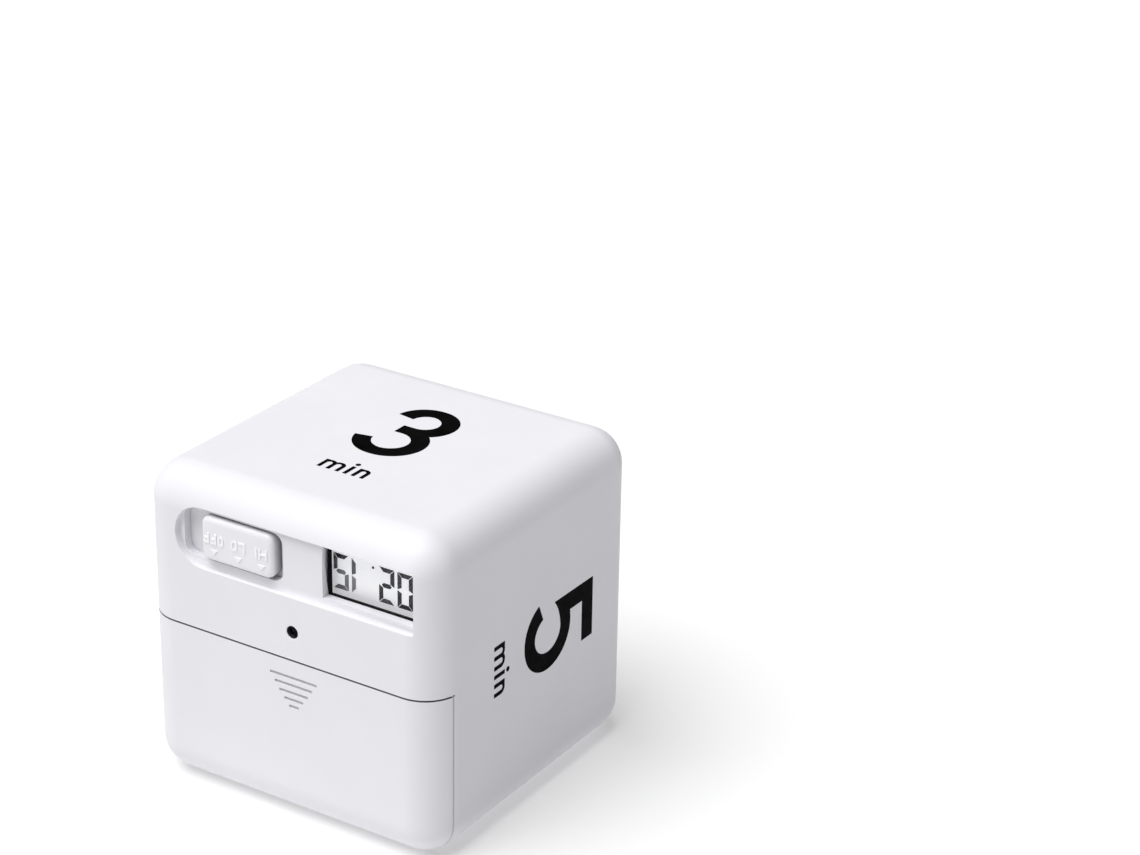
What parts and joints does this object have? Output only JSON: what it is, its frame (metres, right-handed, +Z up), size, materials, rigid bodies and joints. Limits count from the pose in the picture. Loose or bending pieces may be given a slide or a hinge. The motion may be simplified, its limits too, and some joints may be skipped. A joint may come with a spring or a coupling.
{
  "type": "cube timer",
  "caption": "White cube kitchen timer with a three-position slide switch, a small sunk display and a sliding battery door; it is set by turning it onto a face.",
  "frame": {"origin": "centre of the cube's lower face, at the bottom of the bounding box", "axes": "+Z up through the 3 minute face, -Y out of the control face with the switch and the display, +X out of the 5 minute face"},
  "size_m": [0.06, 0.0597, 0.058],
  "materials": {
    "white_plastic": "satin moulded",
    "black_plastic": "satin",
    "black_rubber": "matte",
    "clear_plastic": "clear gloss",
    "display_glass": "clear gloss",
    "silver_foil": "satin",
    "grey_rubber": "matte",
    "black_foam": "matte",
    "circuit_board": "semi gloss",
    "dark_sleeve": "gloss",
    "resistor_body": "gloss",
    "magnet_black": "matte",
    "tinned_steel": "bright",
    "ball_metal": "polished",
    "cell_sleeve": "gloss",
    "nickel_plate": "bright",
    "red_wire": "gloss",
    "black_wire": "gloss",
    "zinc_screw": "satin"
  },
  "bodies": {
    "housing": {"main_housing": "white_plastic", "front_cover": "white_plastic", "switch_can": "tinned_steel", "switch_base": "black_plastic", "lcd_gasket": "black_rubber", "lcd_lens": "clear_plastic", "lcd_front_glass": "display_glass", "lcd_rear_glass": "display_glass", "lcd_reflector": "silver_foil", "lcd_contact_strip": "grey_rubber", "lcd_foam_strip": "black_foam", "main_board": "circuit_board", "chip_blob": "black_plastic", "crystal": "tinned_steel", "capacitor": "dark_sleeve", "transistor": "black_plastic", "resistor_1": "resistor_body", "resistor_2": "resistor_body", "buzzer_case": "black_plastic", "buzzer_disc": "tinned_steel", "buzzer_base": "magnet_black", "tilt_left_can": "tinned_steel", "tilt_left_base": "black_plastic", "tilt_right_can": "tinned_steel", "tilt_right_base": "black_plastic", "tilt_front_can": "tinned_steel", "tilt_front_base": "black_plastic", "battery_upper": "cell_sleeve", "battery_lower": "cell_sleeve", "contact_bridge": "nickel_plate", "contact_positive": "nickel_plate", "contact_negative": "nickel_plate", "spring_bridge": "nickel_plate", "spring_negative": "nickel_plate", "lead_positive": "red_wire", "lead_negative": "black_wire", "cover_screw_left": "zinc_screw", "cover_screw_right": "zinc_screw", "board_screw_left": "zinc_screw", "board_screw_right": "zinc_screw"},
    "door": {"battery_door": "white_plastic"},
    "switch": {"switch_knob": "white_plastic", "switch_actuator": "black_plastic"},
    "ball_left": {"tilt_left_ball": "ball_metal"},
    "ball_right": {"tilt_right_ball": "ball_metal"},
    "ball_front": {"tilt_front_ball": "ball_metal"}
  },
  "joints": [
    {"name": "battery_door_slide", "type": "slide", "parent": "housing", "child": "door", "axis": [0, 0, -1], "range_m": [0, 0.034]},
    {"name": "switch_slide", "type": "slide", "parent": "housing", "child": "switch", "axis": [1, 0, 0], "range_m": [-0.004, 0]},
    {"name": "tilt_left_ball_roll", "type": "slide", "parent": "housing", "child": "ball_left", "axis": [-0.7071, 0, 0.7071], "range_m": [0, 0.0018]},
    {"name": "tilt_right_ball_roll", "type": "slide", "parent": "housing", "child": "ball_right", "axis": [0.7071, 0, 0.7071], "range_m": [0, 0.0018]},
    {"name": "tilt_front_ball_roll", "type": "slide", "parent": "housing", "child": "ball_front", "axis": [0, 1, 0], "range_m": [0, 0.0018]}
  ]
}
